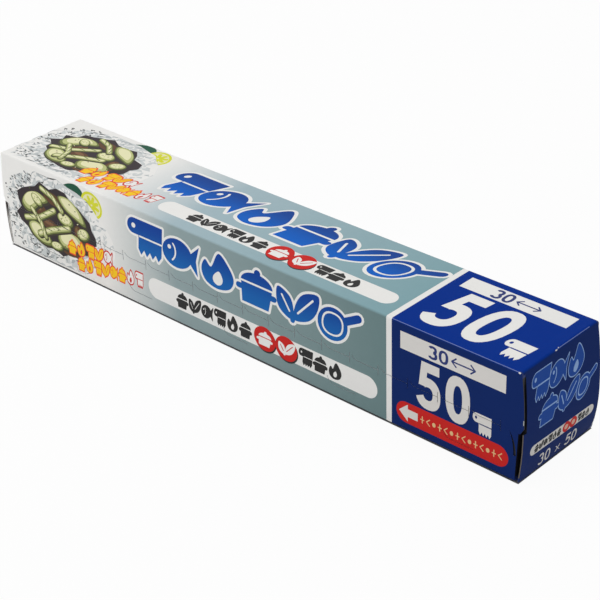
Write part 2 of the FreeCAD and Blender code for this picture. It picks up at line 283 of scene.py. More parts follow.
def icon_roll(grow):
    sheet = [(8, 8), (24, 8), (24, 16), (22, 19), (20, 16), (18, 19),
             (16, 16), (14, 19), (12, 16), (10, 19), (8, 16)]
    tube = [(4.5, 0), (24, 0), (24, 8.6), (4.5, 8.6)]
    body = disc((4.3, 4.3), 4.3, grow=grow) + grown_polygon(tube, grow) + grown_polygon(sheet, grow)
    return body, disc((4.3, 4.3), 1.4) + bar(8.4, 24.4, 8.5, 9.5)


def icon_fish(grow):
    tail = [(16, 9.5), (24, 1.4), (22.4, 9.5), (24, 17.6)]
    body = disc((9.8, 9.5), 9.8, 7.8, grow=grow) + grown_polygon(tail, grow)
    return body, disc((4.6, 7.4), 1.2) + stroke(arc_points((2.6, 9.5), 6.2, -46, 46, 8), 1.0)


def icon_flame(grow):
    flame = smooth_ring([(12, 0), (18.5, 4.6), (22.4, 10.8), (20, 16.6), (12.4, 19),
                         (4.8, 17), (1.6, 11.4), (3.6, 5.8), (7.8, 8.4)])
    heart = smooth_ring([(12.8, 9.4), (15.4, 12.8), (14.8, 15.8), (12.2, 17), (9.6, 15.6), (9.4, 12.6)])
    return grown_polygon(flame, grow), [heart]


def icon_pot(grow):
    lid = [(x, 7.6 + (y - 7.6) * 0.56) for x, y in arc_points((12, 7.6), 9.8, 180, 360, 16)]
    body = grown_polygon([(2.4, 8.2), (21.6, 8.2), (20.2, 19), (3.8, 19)], grow) + grown_polygon(lid, grow)
    body += disc((12, 1.7), 1.9, grow=grow) + stroke([(0.9, 11.4), (3.4, 11.4)], 3.0, grow)
    body += stroke([(20.6, 11.4), (23.1, 11.4)], 3.0, grow) + bar(2.4, 21.6, 7.4, 8.4)
    return body, bar(1.6, 22.4, 7.5, 8.6)


def icon_leaves(grow):
    big = smooth_ring([(11, 17), (11.4, 8.6), (15.6, 2), (24, 0), (24, 8), (19.4, 14.8)])
    small = smooth_ring([(10, 17.4), (3.8, 15.6), (0.2, 11), (0, 3.2), (6.8, 5.4), (10, 10.6)])
    stalk = stroke([(10.6, 14.5), (10.2, 17.8)], 2.8, grow)
    body = grown_polygon(big, grow) + grown_polygon(small, grow) + stalk
    return body, stroke([(13, 13), (21, 3.4)], 1.1) + stroke([(2.8, 6.6), (8, 13.6)], 1.0)


def icon_pan(grow):
    body = disc((8.6, 10.6), 8.6, 8.4, grow=grow) + stroke([(15, 7), (22.4, 2.6)], 4.0, grow)
    return body, [band((8.6, 10.6), 6.3, 6.1, 1.0)]


ICONS = [icon_roll, icon_fish, icon_flame, icon_pot, icon_leaves, icon_pan]


def numeral(digit, left, top, width, height, weight):
    """A plain upright numeral with flat stroke ends, as outlines."""
    across, down = width / 10, height / 16
    thick = weight / across
    if digit == "0":
        shapes = [band((5, 8), 5, 8, thick)]
    elif digit == "3":
        shapes = [band((4.7, 4.5), 4.5, 4.5, thick, -158, 82), band((4.7, 11.2), 5.0, 4.8, thick, -82, 158)]
    else:
        stem = [(1.9, 0), (1.9 + thick * 0.85, 0), (1.2 + thick * 0.8, 8.3), (0.8, 8.3)]
        shapes = bar(1.9, 9.3, 0, thick) + [stem, band((4.7, 10.5), 5.2, 5.5, thick, -126, 160)]
    return place(shapes, (left, top), across, down)


class Layout:
    """Inks painted over each other on a flat panel, each ink's outlines in the order they are laid."""

    def __init__(self):
        self.shapes = []

    def paint(self, ink, shapes):
        for shape in shapes:
            self.shapes.append((ink, [(float(x), float(y)) for x, y in shape]))


def inside(points, outline):
    """Which of many points lie in an outline."""
    x, y = points[:, 0], points[:, 1]
    found = np.zeros(len(points), bool)
    x1, y1 = outline[-1]
    for x0, y0 in outline:
        if y0 != y1:
            crosses = (y0 > y) != (y1 > y)
            found ^= crosses & (x < (x1 - x0) * (y - y0) / (y1 - y0) + x0)
        x1, y1 = x0, y0
    return found


def tile(layout, extra_lines):
    """Cut the layout into triangles that belong to one ink each."""
    points, edges = [], []
    for _, shape in layout.shapes:
        start = len(points)
        points += shape
        edges += [(start + i, start + (i + 1) % len(shape)) for i in range(len(shape))]
    for line in extra_lines:
        start = len(points)
        points += line
        edges += [(start + i, start + i + 1) for i in range(len(line) - 1)]
    flat, _, faces, _, _, _ = delaunay_2d_cdt([Vector(p) for p in points], edges, [], 0, 1e-4)
    corners = np.array([(v.x, v.y) for v in flat])
    triangles = np.array([f[:3] for f in faces if len(f) == 3])
    middles = corners[triangles].mean(axis=1)
    owner = np.full(len(triangles), -1)
    names = []
    for ink, shape in layout.shapes:
        if ink not in names:
            names.append(ink)
        outline = np.array(shape)
        near = np.flatnonzero(np.all((middles >= outline.min(0)) & (middles <= outline.max(0)), axis=1))
        if len(near):
            owner[near[inside(middles[near], outline)]] = names.index(ink)
    return corners, triangles, owner, names


def plates(layout, extra_lines, fold):
    """Make one closed thin plate, in one or more islands, for each ink of a layout."""
    corners, triangles, owner, names = tile(layout, extra_lines)
    made = {}
    for index, ink in enumerate(names):
        chosen = triangles[owner == index]
        if ink == BARE or not len(chosen):
            continue
        used = np.unique(chosen)
        local = {int(v): i for i, v in enumerate(used)}
        count = len(used)
        vertices = [fold(*corners[v], INK_PROUD) for v in used] + [fold(*corners[v], -INK_SUNK) for v in used]
        faces, border = [], {}
        for triangle in chosen:
            a, b, c = (local[int(v)] for v in triangle)
            faces.append((c, b, a))
            faces.append((a + count, b + count, c + count))
            for edge in ((a, b), (b, c), (c, a)):
                if (edge[1], edge[0]) in border:
                    del border[(edge[1], edge[0])]
                else:
                    border[edge] = True
        walls = [(b + count, a + count, a, b) for a, b in border]
        made[ink] = (vertices, faces, walls, set(border))
    return made


def mesh_piece(name, part):
    """One object from the plates of one ink, with smooth faces and sharp edges."""
    vertices, faces, walls, border = part
    count = len(vertices) // 2
    mesh = bpy.data.meshes.new(name)
    mesh.from_pydata([[c * MM for c in v] for v in vertices], [], faces + walls)
    mesh.polygons.foreach_set("use_smooth", [True] * len(faces) + [False] * len(walls))
    wanted = {tuple(sorted((a + lower, b + lower))) for a, b in border for lower in (0, count)}
    for edge in mesh.edges:
        edge.use_edge_sharp = tuple(sorted(edge.vertices)) in wanted
    mesh.update()
    piece = bpy.data.objects.new(name, mesh)
    bpy.context.scene.collection.objects.link(piece)
    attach(piece, BODY)
    return piece


# The print of the carton

STRIPE_LEFT = 245.2
STRIPE_RIGHT = 248.1
FADE_START = 72.0
FADE_END = 121.0
ICON_WIDTH = 24
ICON_HEIGHT = 19
TITLE_FILL = 0.98
TITLE_EDGE = 1.3
DISC_MARK = 0.38
YELLOW_EDGE = 0.75
YELLOW_ICONS = [icon_pot, icon_flame, icon_roll, icon_leaves, icon_fish]
END_STEP = 1.5


def title_row(layout, ink, icons, origin, pitch, height, edge, slant, edge_ink=BARE):
    """A row of bold slanted pictograms with an edge round them, where the carton's title would be."""
    across, down = pitch / ICON_WIDTH * TITLE_FILL, height / ICON_HEIGHT
    for grow, colour in ((edge / down, edge_ink), (0, ink)):
        for number, icon in enumerate(icons):
            body, marks = icon(grow)
            corner = (origin[0] + number * pitch, origin[1])
            layout.paint(colour, place(body, corner, across, down, slant, ICON_HEIGHT / 2))
            if grow == 0:
                layout.paint(edge_ink, place(marks, corner, across, down, slant, ICON_HEIGHT / 2))


def small_marks(layout, origin_round, left, right, top, bottom, icons):
    """A row of small plain pictograms."""
    down = (bottom - top) / ICON_HEIGHT
    pitch = (right - left) / len(icons)
    across = pitch / ICON_WIDTH * 0.9
    for number, icon in enumerate(icons):
        body, marks = icon(0.7)
        corner = (left + number * pitch, origin_round + top)
        layout.paint("print_black", place(body, corner, across, down, 0.12, ICON_HEIGHT / 2))
        layout.paint(BARE, place(marks, corner, across, down, 0.12, ICON_HEIGHT / 2))


def white_capsule(layout, origin_round, left, right, top, bottom):
    """The white capsule with black marks and two red discs."""
    layout.paint(BARE, place(pill(left, right, top, bottom), (0, origin_round)))
    marks_left = left + 19
    mark_top = top + 1.4
    mark_bottom = bottom - 1.6
    small_marks(layout, origin_round, marks_left, marks_left + 48, mark_top, mark_bottom,
                [icon_pot, icon_leaves, icon_fish, icon_roll, icon_flame, icon_pot])
    small_marks(layout, origin_round, marks_left + 75.5, marks_left + 101, mark_top, mark_bottom,
                [icon_roll, icon_pot, icon_flame])
    disc_down = (top + bottom) / 2 + origin_round
    for number, icon in enumerate((icon_pot, icon_leaves)):
        across = marks_left + 55.3 + 12.8 * number
        layout.paint("print_black", disc((across + 0.5, disc_down + 0.7), 6.5, 6.1))
        layout.paint("print_red", disc((across, disc_down), 6.5, 6.1))
        body, marks = icon(0.3)
        corner = (across - ICON_WIDTH / 2 * DISC_MARK, disc_down - ICON_HEIGHT / 2 * DISC_MARK)
        layout.paint(BARE, place(body, corner, DISC_MARK, slant=0.15, level=ICON_HEIGHT / 2))
        layout.paint("print_red", place(marks, corner, DISC_MARK, slant=0.15, level=ICON_HEIGHT / 2))


def yellow_rows(layout, origin_round, rows, slant):
    """Rising rows of small yellow pictograms with a red-orange edge; the last of each row are white."""
    for left, top, pitch, rise, height, count, pale in rows:
        across, down = pitch / ICON_WIDTH * 0.88, height / ICON_HEIGHT
        for grow in (YELLOW_EDGE / down, 0):
            for number in range(count):
                is_pale = number >= count - pale
                edge_ink = "print_red" if is_pale else "print_orange"
                body, marks = YELLOW_ICONS[number % len(YELLOW_ICONS)](grow)
                corner = (left + number * pitch, origin_round + top - rise * number)
                ink = edge_ink if grow else BARE if is_pale else "print_yellow"
                layout.paint(ink, place(body, corner, across, down, slant, ICON_HEIGHT / 2))
                if grow == 0:
                    layout.paint(edge_ink, place(marks, corner, across, down, slant, ICON_HEIGHT / 2))


def foil_facets(layout, outline, hole, seed):
    """Crumpled foil as flat facets: each takes a grey by how it leans, and the outer ones fade to white."""
    layout.paint(BARE, [outline])
    chance = random.Random(seed)
    outer = np.array(outline)
    low_corner, high_corner = outer.min(0), outer.max(0)
    spots = []
    for i in range(int((high_corner[0] - low_corner[0]) / FOIL_SPACING) + 1):
        for j in range(int((high_corner[1] - low_corner[1]) / FOIL_SPACING) + 1):
            spots.append((low_corner[0] + (i + 0.5 + chance.uniform(-0.48, 0.48)) * FOIL_SPACING,
                          low_corner[1] + (j + 0.5 + chance.uniform(-0.48, 0.48)) * FOIL_SPACING))
    spots = np.array(spots)
    keep = inside(spots, outline) & ~inside(spots, hole)
    spots = [tuple(p) for p in spots[keep]] + list(outline) + list(hole)
    heights = [chance.uniform(-1, 1) for _ in spots]
    corners, _, faces, origins, _, _ = delaunay_2d_cdt([Vector(p) for p in spots], [], [], 0, 1e-4)
    hole_middle = np.array(hole).mean(0)
    for face in faces:
        a, b, c = (corners[i] for i in face[:3])
        middle = (a + b + c) / 3
        probe = np.array([[middle.x, middle.y]])
        if not inside(probe, outline)[0] or inside(probe, hole)[0]:
            continue
        ha, hb, hc = (heights[origins[i][0]] if origins[i] else 0.0 for i in face[:3])
        span = (b - a).cross(c - a)
        if abs(span) < 1e-6:
            continue
        slope_across = ((hb - ha) * (c.y - a.y) - (hc - ha) * (b.y - a.y)) / span
        slope_down = ((hc - ha) * (b.x - a.x) - (hb - ha) * (c.x - a.x)) / span
        shade = slope_across * 0.4 + slope_down * 0.6 + chance.uniform(-0.3, 0.35)
        reach = math.hypot(middle.x - hole_middle[0], middle.y - hole_middle[1])
        fade = min(max((reach - FOIL_FADE[0]) / (FOIL_FADE[1] - FOIL_FADE[0]), 0), 1)
        shade -= fade * 0.7
        for limit, ink in FOIL_SHADES:
            if shade > limit:
                layout.paint(ink, [[(a.x, a.y), (b.x, b.y), (c.x, c.y)]])
                break


# The inks of the foil by the least lean of a facet, the grid its facets come from, and where it fades
FOIL_SHADES = [(1.15, "print_fleck"), (0.8, "print_foil_dark"), (0.4, "print_foil_mid"),
               (-0.1, "print_foil_light")]
FOIL_SPACING = 1.8
FOIL_FADE = (26, 42)


def ragged_ring(centre, radius_across, radius_down, count, roughness, seed):
    """An uneven closed outline round a centre."""
    chance = random.Random(seed)
    points = []
    for i in range(count):
        angle = 2 * math.pi * i / count
        reach = 1 + chance.uniform(-roughness, roughness)
        points.append((centre[0] + radius_across * reach * math.cos(angle),
                       centre[1] + radius_down * reach * math.sin(angle)))
    return points


def spear(layout, points, thickness, shift):
    """One pale green spear with a light side, a shaded side and leaf scales."""
    layers = [("print_shadow", thickness * 1.12, 0.55, 0.6), ("print_olive", thickness, 0, 0),
              ("print_pale_green", thickness * 0.7, -0.1, -0.12),
              ("print_cream", thickness * 0.34, -0.2, -0.28)]
    for ink, width, ahead, below in layers:
        run = [(x + ahead * thickness / 4, y + below * thickness / 4) for x, y in points]
        layout.paint(ink, place(stroke(run, width), shift))
    for start, finish in zip(points, points[1:]):
        length = math.dist(start, finish)
        ux, uy = (finish[0] - start[0]) / length, (finish[1] - start[1]) / length
        for share in (0.25, 0.7):
            x, y = start[0] + ux * length * share, start[1] + uy * length * share
            tip = (x + (ux * 0.8 - uy * 0.1) * thickness, y + (uy * 0.8 + ux * 0.1) * thickness)
            root = (x + uy * thickness * 0.35, y - ux * thickness * 0.35)
            layout.paint("print_leaf_mid", place(stroke([root, tip], 0.45), shift))


def shaded(layout, outline, layers, shift):
    """Paint an outline in layers of ink, each scaled about its middle and moved by shares of its size."""
    points = np.array(outline)
    middle = points.mean(0)
    size = np.abs(points - middle).max()
    for ink, scale, ahead, below in layers:
        moved = middle + (points - middle) * scale + np.array((ahead, below)) * size
        layout.paint(ink, place([moved.tolist()], shift))


SLICE_LAYERS = [("print_shadow", 1.04, 0.12, 0.14), ("print_leaf_mid", 1.0, 0, 0),
                ("print_olive", 0.95, -0.02, -0.04), ("print_pale_green", 0.86, -0.05, -0.07),
                ("print_cream", 0.68, -0.1, -0.11)]
CHUNK_LAYERS = [("print_shadow", 1.06, 0.07, 0.09), ("print_olive", 1.0, 0, 0),
                ("print_pale_green", 0.88, -0.03, -0.05), ("print_cream", 0.66, -0.1, -0.11)]


def round_slice(layout, centre, size, squash, lean, shift):
    """One slice of a pale gourd: dark rim, pale flesh, a lighter heart and a few seeds."""
    shaded(layout, disc(centre, size, size * squash, lean, 22)[0], SLICE_LAYERS, shift)
    x, y = centre[0] - 0.1 * size, centre[1] - 0.11 * size
    for number in range(5):
        angle = math.radians(72 * number + 3 * lean)
        seed = [(x + math.cos(angle) * size * reach, y + math.sin(angle) * size * reach * squash)
                for reach in (0.26, 0.42)]
        layout.paint("print_pale_green", place(stroke(seed, 0.55), shift))


def chunk(layout, points, shift):
    """One pale chunk of a root."""
    shaded(layout, smooth_ring(points, 4), CHUNK_LAYERS, shift)


def brown_slice(layout, centre, across, down, lean, shift):
    """One dark brown slice with a lighter side."""
    layout.paint("print_brown", place(disc(centre, across, down, lean, 18), shift))
    lit = (centre[0] - 1.2, centre[1] - 0.9)
    layout.paint("print_rust", place(disc(lit, across * 0.6, down * 0.4, lean, 14), shift))


DISH = [
    (brown_slice, (24, 23), 8, 4.4, 20), (brown_slice, (49, 39), 8.5, 3.4, -12),
    (brown_slice, (37, 15), 7, 3.4, 8), (brown_slice, (33, 30), 6.5, 3, 6),
    (brown_slice, (55, 29), 5.5, 3.6, 70),
    (chunk, [(41, 12), (49, 11), (57, 16), (60, 22.5), (53, 21), (45, 17.5)]),
    (chunk, [(12.5, 24), (17, 17.5), (26, 14.5), (33, 17.5), (27, 21), (18, 27.5)]),
    (spear, [(14.5, 31.5), (26, 28), (37, 21)], 3.4), (round_slice, (45, 23.5), 5.8, 0.6, 5),
    (chunk, [(16, 34), (22.5, 31.5), (30, 35.5), (33, 41), (26, 42.5), (18.5, 39.5)]),
    (spear, [(29, 11.5), (37, 14), (43, 19.5)], 3.2), (round_slice, (24.5, 19), 4.4, 0.6, 30),
    (chunk, [(38, 34.5), (45, 30), (54, 30.5), (58, 35.5), (50, 39), (41, 39.5)]),
    (spear, [(24, 37.5), (34, 32.5), (47, 27.5)], 3.8), (round_slice, (57.5, 27.5), 4.8, 0.66, -20),
    (round_slice, (36.5, 40.5), 4.6, 0.5, -8), (spear, [(20, 25), (26, 31), (28.5, 38)], 3.0),
]


SHEET_MIDDLE = (38, 27.5)
SHEET_ACROSS = 40
SHEET_DOWN = 24
CORNER_PUSH = 0.6
HOLE_MIDDLE = (37.5, 26.5)
HOLE_ACROSS = 28.0
HOLE_DOWN = 17.6
FLECK_MIDDLE = (37, 27)
FLECK_ACROSS = 29
FLECK_DOWN = 18
FLECK_COUNT = 130
HERB_COUNT = 30


def foil_corner(spot):
    """The sheet of foil reaches further out at its lower left corner."""
    across, down = spot[0] - SHEET_MIDDLE[0], spot[1] - SHEET_MIDDLE[1]
    if across > 0 or down < 0:
        return spot
    push = 1 + CORNER_PUSH * (-across / SHEET_ACROSS) * (down / SHEET_DOWN)
    return SHEET_MIDDLE[0] + across * push, SHEET_MIDDLE[1] + down * push


def dish_picture(layout, origin_round, seed):
    """A generic dish: pale slices and green spears over dark brown ones, baked in an opened sheet of foil."""
    shift = (0, origin_round)
    sheet = ragged_ring(SHEET_MIDDLE, SHEET_ACROSS, SHEET_DOWN, 34, 0.06, seed)
    outline = [foil_corner(spot) for spot in sheet]
    outline = [(min(max(x, 0.8), 80), min(max(y, 2.2), 49.8)) for x, y in outline]
    hole = ragged_ring(HOLE_MIDDLE, HOLE_ACROSS, HOLE_DOWN, 30, 0.1, seed + 1)
    leaf = smooth_ring([(45, 5.6), (50, 2.4), (56, 1.6), (60, 4.4), (57, 8), (49, 8.6)])
    layout.paint("print_leaf", place([leaf], shift))
    lemon = (66, 8.8)
    layout.paint("print_lemon", place(disc(lemon, 7.4, 6.6, 20), shift))
    layout.paint("print_cream", place(disc(lemon, 6.1, 5.3, 20), shift))
    for step in range(8):
        angle = math.radians(20 + 45 * step)
        ray = [(lemon[0] + reach * math.cos(angle), lemon[1] + reach * 0.86 * math.sin(angle))
               for reach in (1.6, 4.6)]
        layout.paint("print_lemon", place(stroke(ray, 1.9), shift))
    foil_facets(layout, place([outline], shift)[0], place([hole], shift)[0], seed + 2)
    chance = random.Random(seed + 3)
    for _ in range(FLECK_COUNT):
        angle = chance.uniform(1.7, 4.3)
        reach = chance.uniform(1.04, 1.36 + 0.3 * max(0.0, math.sin(2 * (math.pi - angle))))
        spot = (FLECK_MIDDLE[0] + FLECK_ACROSS * reach * math.cos(angle),
                FLECK_MIDDLE[1] + FLECK_DOWN * reach * math.sin(angle))
        if not (1 < spot[0] < 76 and 3 < spot[1] < 49):
            continue
        run = chance.uniform(0.2, 1.5)
        lean = chance.uniform(-0.4, 0.8)
        fleck = [spot, (spot[0] + run * math.cos(lean), spot[1] + run * math.sin(lean))]
        ink = chance.choice(("print_fleck", "print_fleck", "print_foil_dark"))
        layout.paint(ink, place(stroke(fleck, chance.uniform(0.3, 0.85)), shift))
    layout.paint("print_pan_dark", place([hole], shift))
    for draw, *measures in DISH:
        draw(layout, *measures, shift)
    for _ in range(HERB_COUNT):
        spot = (chance.uniform(16, 60), chance.uniform(13, 41))
        herb = [spot, (spot[0] + chance.uniform(-0.7, 0.7), spot[1] + chance.uniform(-0.5, 0.5))]
        ink = chance.choice(("print_leaf_mid", "print_cream", "print_brown"))
        layout.paint(ink, place(stroke(herb, 0.45), shift))


def size_panel(layout, origin_round, white, bar_span, big, red):
    """The blue panel's white bar and plain numerals, and the front's red capsule with its arrow."""
    shift = (0, origin_round)
    left, right, top, bottom = bar_span
    layout.paint(white, place(bar(left, right, top, bottom), shift))
    middle = (top + bottom) / 2
    small_top = top + 0.95
    small_height = bottom - top - 1.9
    for number, digit in enumerate("30"):
        outlines = numeral(digit, left + 14.2 + 5.3 * number, small_top, 4.8, small_height, 1.35)
        layout.paint("print_navy", place(outlines, shift))
    arrow_left, arrow_right = left + 26, left + 37.5
    layout.paint("print_navy", place(stroke([(arrow_left, middle), (arrow_right, middle)], 0.7), shift))
    for tip, way in ((arrow_left, 1), (arrow_right, -1)):
        head = [(tip + way * 2.1, middle - 1.9), (tip, middle), (tip + way * 2.1, middle + 1.9)]
        layout.paint("print_navy", place(stroke(head, 0.7), shift))
    big_left, big_top, big_width, big_height, weight, gap, slant = big
    for number, digit in enumerate("50"):
        outlines = numeral(digit, (big_width + gap) * number, 0, big_width, big_height, weight)
        origin = (big_left, origin_round + big_top)
        layout.paint(white, place(outlines, origin, slant=slant, level=big_height / 2))
    roll_down = big_height * 0.44 / ICON_HEIGHT
    corner = (big_left + 2 * big_width + 1.6 * gap, origin_round + big_top + big_height * 0.58)
    body, marks = icon_roll(0)
    layout.paint(white, place(body, corner, roll_down * 0.75, roll_down, slant, ICON_HEIGHT / 2))
    layout.paint("field_blue", place(marks, corner, roll_down * 0.75, roll_down, slant, ICON_HEIGHT / 2))
    if red:
        left, right, top, bottom = red
        layout.paint("print_red", place(pill(left, right, top, bottom), shift))
        middle = (top + bottom) / 2
        arrow = [(left + 1.4, middle), (left + 6, middle - 4.1), (left + 6, middle - 1.9),
                 (left + 11.2, middle - 1.9), (left + 11.2, middle + 1.9), (left + 6, middle + 1.9),
                 (left + 6, middle + 4.1)]
        layout.paint(white, place([arrow], shift))
        for number in range(14):
            mark = left + 13.6 + 3.0 * number
            upright = stroke([(mark, middle - 1.5), (mark, middle + 1.5)], 0.5)
            chevron = [(mark + 0.8, middle - 1.5), (mark - 0.8, middle), (mark + 0.8, middle + 1.5)]
            kinds = (upright + bar(mark - 1, mark + 1, middle - 0.25, middle + 0.25),
                     disc((mark, middle), 0.9, 1.1, 0, 12), stroke(chevron, 0.45))
            layout.paint("print_straw", place(kinds[number * 2 % 3], shift))


def front_edge_outline():
    """The front's outline: leaning in below the tear line, and with the lid's wings above it."""
    top = HEIGHT - HINGE
    bevel_top = TEAR_LEVEL + BEVEL_RISE
    levels = [top + (bevel_top - top) * i / 10 for i in range(11)]
    levels += [TEAR_LEVEL + 0.001, TEAR_LEVEL, FLAP_RISE]
    sides = [(side_reach(level), DEPTH + HEIGHT - level) for level in levels]
    right = [(LENGTH + reach, down) for reach, down in sides]
    left = [(-reach, down) for reach, down in sides]
    corner_right = [(x, DEPTH + HINGE - y) for x, y in arc_points((LENGTH - HINGE, 0), HINGE, 90, 0, 5)]
    corner_left = [(x, DEPTH + HINGE - y) for x, y in arc_points((HINGE, 0), HINGE, 180, 90, 5)]
    return corner_right + right + left[::-1] + corner_left


def cut_shape(straight_end, straight_start, down, lead_run, lead_rise, tick):
    """One cut of a tear line, the same outline as the solid's."""
    half = CUT_WIDTH / 2
    bend = (lead_run ** 2 + lead_rise ** 2) / (2 * lead_rise)
    sweep = math.degrees(math.asin(lead_run / bend))
    centre = (straight_start, down - bend)
    outer = arc_points(centre, bend + half, 90 + sweep, 90, 6)
    inner = arc_points(centre, bend - half, 90, 90 + sweep, 6)
    shapes = [outer + [(straight_end, down + half), (straight_end, down - half)] + inner]
    if tick:
        shapes += bar(straight_end - half, straight_end + half, down - tick / 2, down + tick / 2)
    return shapes


def front_cuts():
    """All the cuts through the front's print."""
    shapes = []
    ticks = int((LENGTH - 2 * FIRST_TICK) / TICK_PITCH + 0.02)
    for number in range(ticks):
        end = FIRST_TICK + TICK_PITCH * (number + 1)
        shapes += cut_shape(end, end - DASH_RUN, TEAR_DROP, LEAD_RUN, LEAD_RISE, TICK_LENGTH)
    strips = int((LENGTH - FIRST_STRIP_CUT - STRIP_RUN) / STRIP_PITCH) + 1
    for number in range(strips):
        start = FIRST_STRIP_CUT + STRIP_PITCH * number
        shapes += cut_shape(start + STRIP_RUN, start, STRIP_DROP, STRIP_LEAD_RUN, STRIP_LEAD_RISE, 0)
    shapes += bar(SLIT_INSET, SLIT_INSET + CUT_WIDTH, TEAR_DROP, TEAR_DROP + SLIT_LENGTH)
    inset = TAB_EDGE - side_reach(TEAR_LEVEL - TAB_HEIGHT)
    reach = TAB_REACH - inset
    steps = [TAB_HEIGHT * i / 10 for i in range(11)]
    outer, inner = ([(LENGTH - TAB_REACH + bow(TAB_HEIGHT, TAB_HEIGHT - step, wide), TEAR_DROP + step)
                     for step in steps] for wide in (reach, reach - TAB_WIDTH))
    shapes.append(outer + inner[::-1])
    return place(shapes, (0, FRONT))


def sleeve_layout():
    """The print of the back, the top and the front."""
    layout = Layout()
    edge = front_edge_outline()
    top_right = LENGTH - HINGE
    layout.paint("field_grey", bar(FADE_START, STRIPE_LEFT, BACK_END, FRONT_END))
    layout.paint("field_blue", bar(STRIPE_RIGHT, top_right, -HINGE, DEPTH + HINGE))
    back_right = [(LENGTH + side_reach(min(level, TEAR_LEVEL)), level - HEIGHT)
                  for level in (CREASE, TEAR_LEVEL)]
    layout.paint("field_blue", [[(STRIPE_RIGHT, BACK_END)] + back_right
                                + [(LENGTH, -TEAR_DROP + 0.001), (LENGTH, -HINGE), (STRIPE_RIGHT, -HINGE)]])
    front_right = [(x, y) for x, y in edge if x > STRIPE_RIGHT]
    layout.paint("field_blue", [front_right + [(STRIPE_RIGHT, FRONT_END), (STRIPE_RIGHT, DEPTH)]])
    dish_picture(layout, TOP - 1.0, 11)
    dish_picture(layout, FRONT - 0.6, 23)
    title_row(layout, "print_title_top", ICONS, (84.5, TOP + 7.6), 26.0, 21.6, 1.5, 0.42)
    title_row(layout, "print_title_front", ICONS, (90.0, FRONT + 4.9), 23.6, 18.2, TITLE_EDGE, 0.12)
    white_capsule(layout, TOP, 102.2, 241.0, 34.8, 44.6)
    white_capsule(layout, FRONT, 101.8, 240.4, 32.6, 43.4)
    yellow_rows(layout, TOP, [(47.5, 34.0, 6.5, 0.75, 7.0, 5, 1), (53.5, 41.0, 5.7, 0.8, 7.2, 8, 2)], 0.3)
    yellow_rows(layout, FRONT, [(45.5, 32.6, 6.5, 0.8, 7.2, 5, 1), (51.5, 39.6, 5.9, 0.85, 7.4, 8, 2)], 0.1)
    size_panel(layout, TOP, BARE, (252.7, 305.6, 4.2, 13.4), (255.8, 15.3, 16.2, 29.9, 5.0, 3.0, 0.12), None)
    # On the front the white marks are a grey white, as painted shade.
    size_panel(layout, FRONT, "print_shaded_white", (252.6, 304.8, 4.0, 12.1),
               (261.2, 13.8, 12.2, 22.0, 3.9, 2.4, 0.0), (250.6, 307.2, 36.8, 46.9))
    # A lighter blue line along the top-front crease: worn ink and a painted highlight.
    layout.paint("print_worn", bar(STRIPE_RIGHT, top_right, DEPTH - 0.22, DEPTH + 0.12))
    # A worn spot at the near top corner, in the grey white of painted shade.
    layout.paint("print_shaded_white", disc((LENGTH - HINGE, DEPTH + 0.2), 0.6, 0.45, 0, 12))
    # A raw tick on the lid's wing and a worn spot on the front, in a mid grey as painted shade.
    layout.paint("print_foil_mid", bar(LENGTH + WING - 0.35, LENGTH + WING, DEPTH + 20.8, DEPTH + 23.0))
    layout.paint("print_foil_mid", disc((LENGTH - 2.2, DEPTH + 37.0), 0.3, 0.5, 0, 8))
    layout.paint(BARE, front_cuts())
    folds = [[(-WING, DEPTH * side + CREASE * step / 4), (LENGTH + WING, DEPTH * side + CREASE * step / 4)]
             for side in (0, 1) for step in range(-4, 5)]
    return layout, folds


def end_layout():
    """The print of the right end panel, whose flat sides are its front edge and its top."""
    layout = Layout()
    near, far = END_INSET, DEPTH - END_INSET
    bottom = HEIGHT - END_RISE
    corner = arc_points((far - END_CORNER, bottom - END_CORNER), END_CORNER, 0, 90, 10)
    far_side = [(CREASE, -HINGE), (DEPTH - CREASE, -HINGE), (DEPTH - CREASE, HINGE), (far, HINGE)]
    near_side = [(near, bottom), (near, TEAR_DROP), (NOTCH, TEAR_DROP), (NOTCH, HINGE), (CREASE, HINGE)]
    layout.paint("field_blue", [far_side + corner + near_side])
    title_row(layout, "print_title_end", ICONS[:3], (5.0, 4.0), 12.0, 12.2, 0.42, 0.3, "print_pale_blue")
    title_row(layout, "print_title_end", ICONS[3:], (10.5, 17.4), 12.2, 11.6, 0.42, 0.3, "print_pale_blue")
    # On the end the white print is a grey white, as painted shade.
    layout.paint("print_shaded_white", pill(5.3, 47.8, 36.0, 40.8))
    small_marks(layout, 0, 8.2, 26.0, 36.7, 40.2,
                [icon_pot, icon_leaves, icon_fish, icon_roll, icon_flame, icon_pot])
    small_marks(layout, 0, 36.8, 45.0, 36.7, 40.2, [icon_roll, icon_pot, icon_flame])
    for across in (29.2, 33.9):
        layout.paint("print_red", disc((across, 38.4), 2.5, 2.5))
        layout.paint("print_pink", disc((across, 38.4), 1.2))
    for digit, left in (("3", 12.4), ("0", 16.6), ("5", 30.4), ("0", 34.6)):
        layout.paint("print_shaded_white", numeral(digit, left, 43.4, 3.6, 5.8, 0.85))
    # A lighter blue line along the end's top crease: worn ink and a painted highlight.
    layout.paint("print_worn", bar(22, 45, -0.3, 0.05))
    # Worn spots on the end's top crease, in the grey white of painted shade.
    layout.paint("print_shaded_white", disc((22.4, 0.1), 0.7, 0.3, 0, 10))
    layout.paint("print_shaded_white", disc((24.2, -0.4), 0.3, 0.25, 0, 8))
    cross = stroke([(24, 45.6), (26.6, 48.2)], 0.45) + stroke([(24, 48.2), (26.6, 45.6)], 0.45)
    layout.paint("print_shaded_white", cross)
    folds = [[(0, -HINGE + HINGE * step / 4), (DEPTH, -HINGE + HINGE * step / 4)] for step in range(9)]
    folds += [[(0, HINGE + END_STEP * step), (DEPTH, HINGE + END_STEP * step)]
              for step in range(1, int((HEIGHT - END_RISE - HINGE) / END_STEP) + 1)]
    folds += [[(DEPTH * step / 12, -HINGE), (DEPTH * step / 12, HEIGHT)] for step in range(1, 12)]
    return layout, folds


# Materials

